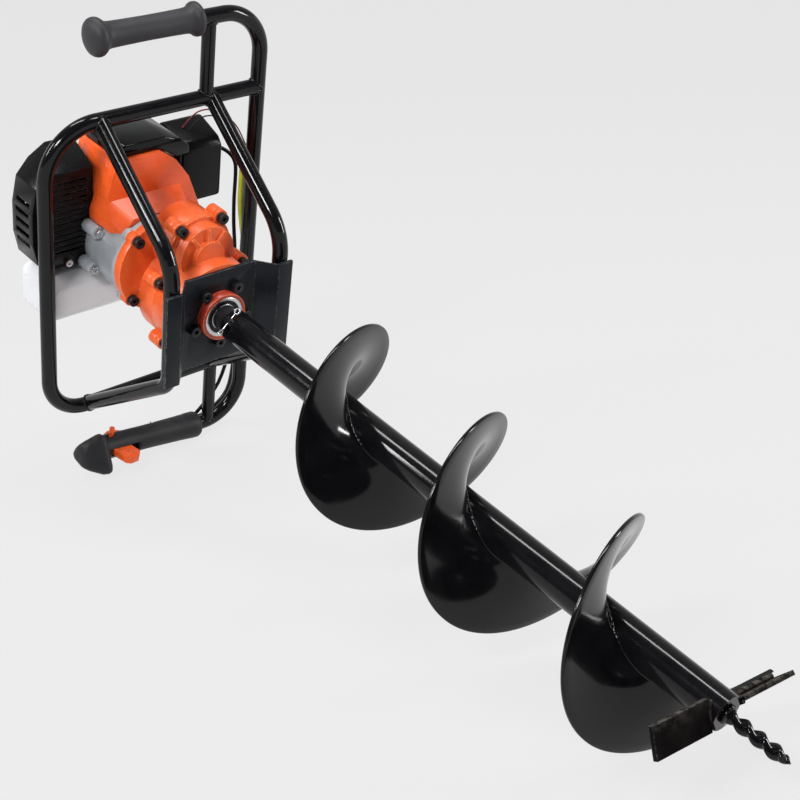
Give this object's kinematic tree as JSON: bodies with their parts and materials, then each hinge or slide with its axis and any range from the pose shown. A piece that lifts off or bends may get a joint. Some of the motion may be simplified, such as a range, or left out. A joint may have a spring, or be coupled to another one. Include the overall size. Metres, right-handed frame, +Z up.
{
  "type": "earth auger",
  "caption": "Petrol earth auger with a bent-tube handle frame, throttle grip, small engine, gearbox and a spiral drill bit with cutter blades and a pilot point.",
  "frame": {"origin": "centre of the box round the part, on the floor that it lies on", "axes": "+X along the bit towards its point, +Z up, so the bit axis dips by 13 degrees; -Y is the throttle head and exhaust side"},
  "size_m": [1.0777, 0.3121, 0.6089],
  "materials": {
    "frame_black": "gloss",
    "plate_grey": "satin",
    "orange_paint": "satin",
    "orange_plastic": "gloss",
    "alloy": "satin",
    "steel": "satin",
    "black_steel": "satin",
    "black_plastic": "satin",
    "gloss_black": "gloss",
    "rubber": "matte",
    "grip_plastic": "matte",
    "sleeve": "satin",
    "wire_red": "satin",
    "tank_white": "satin",
    "filter_foam": "matte",
    "bulb": "satin",
    "rope": "matte",
    "exhaust": "satin",
    "lining": "matte"
  },
  "bodies": {
    "machine": {"handlebar": "frame_black", "guard_loop": "frame_black", "front_brace_left": "frame_black", "front_brace_right": "frame_black", "upper_strut": "frame_black", "lower_strut": "frame_black", "mounting_plate": "plate_grey", "gearbox_cover": "orange_paint", "gearbox_housing": "orange_paint", "shroud": "orange_plastic", "clutch_housing": "alloy", "crankcase": "alloy", "cylinder": "alloy", "carburettor": "alloy", "output_bearing": "steel", "shaft_bearings": "steel", "clutch_bolts": "steel", "engine_screws": "steel", "handle_screws": "steel", "trigger_pins": "steel", "spark_plug": "steel", "plate_bolts": "black_steel", "gearbox_bolts": "black_steel", "throttle_cable": "black_plastic", "starter_housing": "black_plastic", "muffler_guard": "black_plastic", "air_filter_base": "black_plastic", "air_filter_cover": "black_plastic", "top_cover": "gloss_black", "upper_grip": "rubber", "throttle_grip_front": "grip_plastic", "throttle_grip_rear": "grip_plastic", "cable_sleeve": "sleeve", "stop_wires": "wire_red", "fuel_tank": "tank_white", "air_filter_element": "filter_foam", "muffler": "exhaust"},
    "auger": {"output_shaft": "black_steel", "output_gear": "steel", "auger_tube": "frame_black", "auger_flight": "frame_black", "cutter_blades": "frame_black", "pilot_point": "frame_black", "drive_pin": "black_steel", "split_pin": "steel"},
    "countershaft_set": {"countershaft": "steel", "countershaft_gear": "steel"},
    "drum": {"clutch_drum": "steel"},
    "crank": {"crankshaft": "steel", "flywheel": "alloy", "clutch_shoes": "lining"},
    "piston_body": {"piston": "alloy"},
    "trigger": {"throttle_trigger": "orange_plastic"},
    "lock": {"trigger_lock": "orange_plastic"},
    "switch": {"stop_switch": "orange_plastic"},
    "choke": {"choke_lever": "steel"},
    "primer": {"primer_bulb": "bulb"},
    "cap": {"fuel_cap": "black_plastic"},
    "pull": {"starter_handle": "black_plastic", "starter_rope": "rope"}
  },
  "joints": [
    {"name": "auger_spin", "type": "hinge", "parent": "machine", "child": "auger", "pos_m": [-0.2811, -0.0015, 0.25921], "axis": [0.9737, 0, -0.2278], "continuous": true},
    {"name": "countershaft_spin", "type": "hinge", "parent": "machine", "child": "countershaft_set", "pos_m": [-0.32495, -0.0015, 0.33519], "axis": [0.9737, 0, -0.2278], "continuous": true},
    {"name": "drum_spin", "type": "hinge", "parent": "machine", "child": "drum", "pos_m": [-0.36081, -0.03171, 0.31361], "axis": [0.9737, 0, -0.2278], "continuous": true},
    {"name": "crank_spin", "type": "hinge", "parent": "machine", "child": "crank", "pos_m": [-0.43871, -0.03171, 0.33183], "axis": [0.9737, 0, -0.2278], "continuous": true},
    {"name": "piston_slide", "type": "slide", "parent": "machine", "child": "piston_body", "axis": [0.2278, 0, 0.9737], "range_m": [-0.03, 0]},
    {"name": "trigger_press", "type": "hinge", "parent": "machine", "child": "trigger", "pos_m": [-0.47309, -0.05888, 0.03116], "axis": [0.2261, 0.1219, 0.9665], "range_deg": [0, 12], "stiffness_Nm_per_rad": 0.8, "springref_deg": -3.44},
    {"name": "lock_press", "type": "hinge", "parent": "machine", "child": "lock", "pos_m": [-0.49062, -0.05888, 0.03526], "axis": [-0.2261, -0.1219, -0.9665], "range_deg": [0, 10], "stiffness_Nm_per_rad": 0.5, "springref_deg": -3.44},
    {"name": "stop_slide", "type": "slide", "parent": "machine", "child": "switch", "axis": [0.0278, -0.9925, 0.1187], "range_m": [0, 0.005]},
    {"name": "choke_turn", "type": "hinge", "parent": "machine", "child": "choke", "pos_m": [-0.46312, 0.048, 0.42502], "axis": [0.9737, 0, -0.2278], "range_deg": [0, 75]},
    {"name": "primer_press", "type": "slide", "parent": "machine", "child": "primer", "axis": [0.9737, 0, -0.2278], "range_m": [0, 0.004], "stiffness_N_per_m": 900, "springref_m": -0.001},
    {"name": "cap_turn", "type": "hinge", "parent": "machine", "child": "cap", "pos_m": [-0.46905, 0.0585, 0.27236], "axis": [0, 1, 0], "continuous": true},
    {"name": "starter_pull", "type": "slide", "parent": "machine", "child": "pull", "axis": [0, -1, 0], "range_m": [0, 0.5], "stiffness_N_per_m": 30, "springref_m": -0.12}
  ],
  "couplings": [
    {"joint": "countershaft_spin", "follows": "auger_spin", "ratio": -5.4},
    {"joint": "drum_spin", "follows": "auger_spin", "ratio": 28.2}
  ]
}
